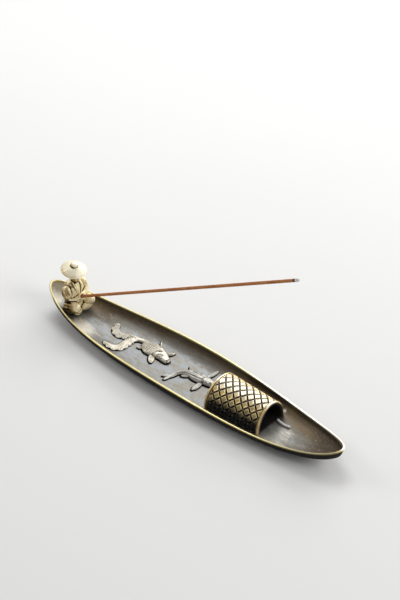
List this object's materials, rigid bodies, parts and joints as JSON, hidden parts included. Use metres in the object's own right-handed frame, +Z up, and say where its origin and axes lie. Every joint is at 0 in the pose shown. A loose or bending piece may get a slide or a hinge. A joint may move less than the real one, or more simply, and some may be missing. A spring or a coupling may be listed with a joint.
{
  "type": "incense burner",
  "caption": "Boat-shaped incense tray: a seated fisherman holds the joss stick over a curved hull with a lift-out woven canopy and carp in relief.",
  "frame": {"origin": "on the table under the middle of the hull, at the base of its flat foot", "axes": "+X along the hull from the fisherman towards the bow, +Y across it, +Z up"},
  "size_m": [0.24, 0.0466, 0.1224],
  "materials": {
    "hull_bronze": "antique bronze, dark inside, rim polished",
    "figure_brass": "pale brass with dark patina in the recesses",
    "hat_brass": "pale brass, rubbed bright",
    "canopy_brass": "gold brass diamonds over black grooves",
    "carp_brass": "rubbed grey-ivory brass, dark outlines",
    "screw_steel": "plain",
    "incense": "pressed incense powder, matte",
    "ash": "pale grey ash"
  },
  "bodies": {
    "boat": {"hull": "hull_bronze", "figure_screw": "screw_steel", "fisherman": "figure_brass", "straw_hat": "hat_brass", "carp_large": "carp_brass", "carp_small": "carp_brass", "fallen_ash": "ash"},
    "stick": {"incense_stick": "incense", "stick_ember": "ash"},
    "canopy": {"canopy": "canopy_brass"}
  },
  "joints": [
    {"name": "stick_pull", "type": "slide", "parent": "boat", "child": "stick", "axis": [0.8603, 0, 0.5098], "range_m": [0, 0.03]},
    {"name": "canopy_lift", "type": "slide", "parent": "boat", "child": "canopy", "axis": [0, 0, 1], "range_m": [0, 0.045]}
  ]
}
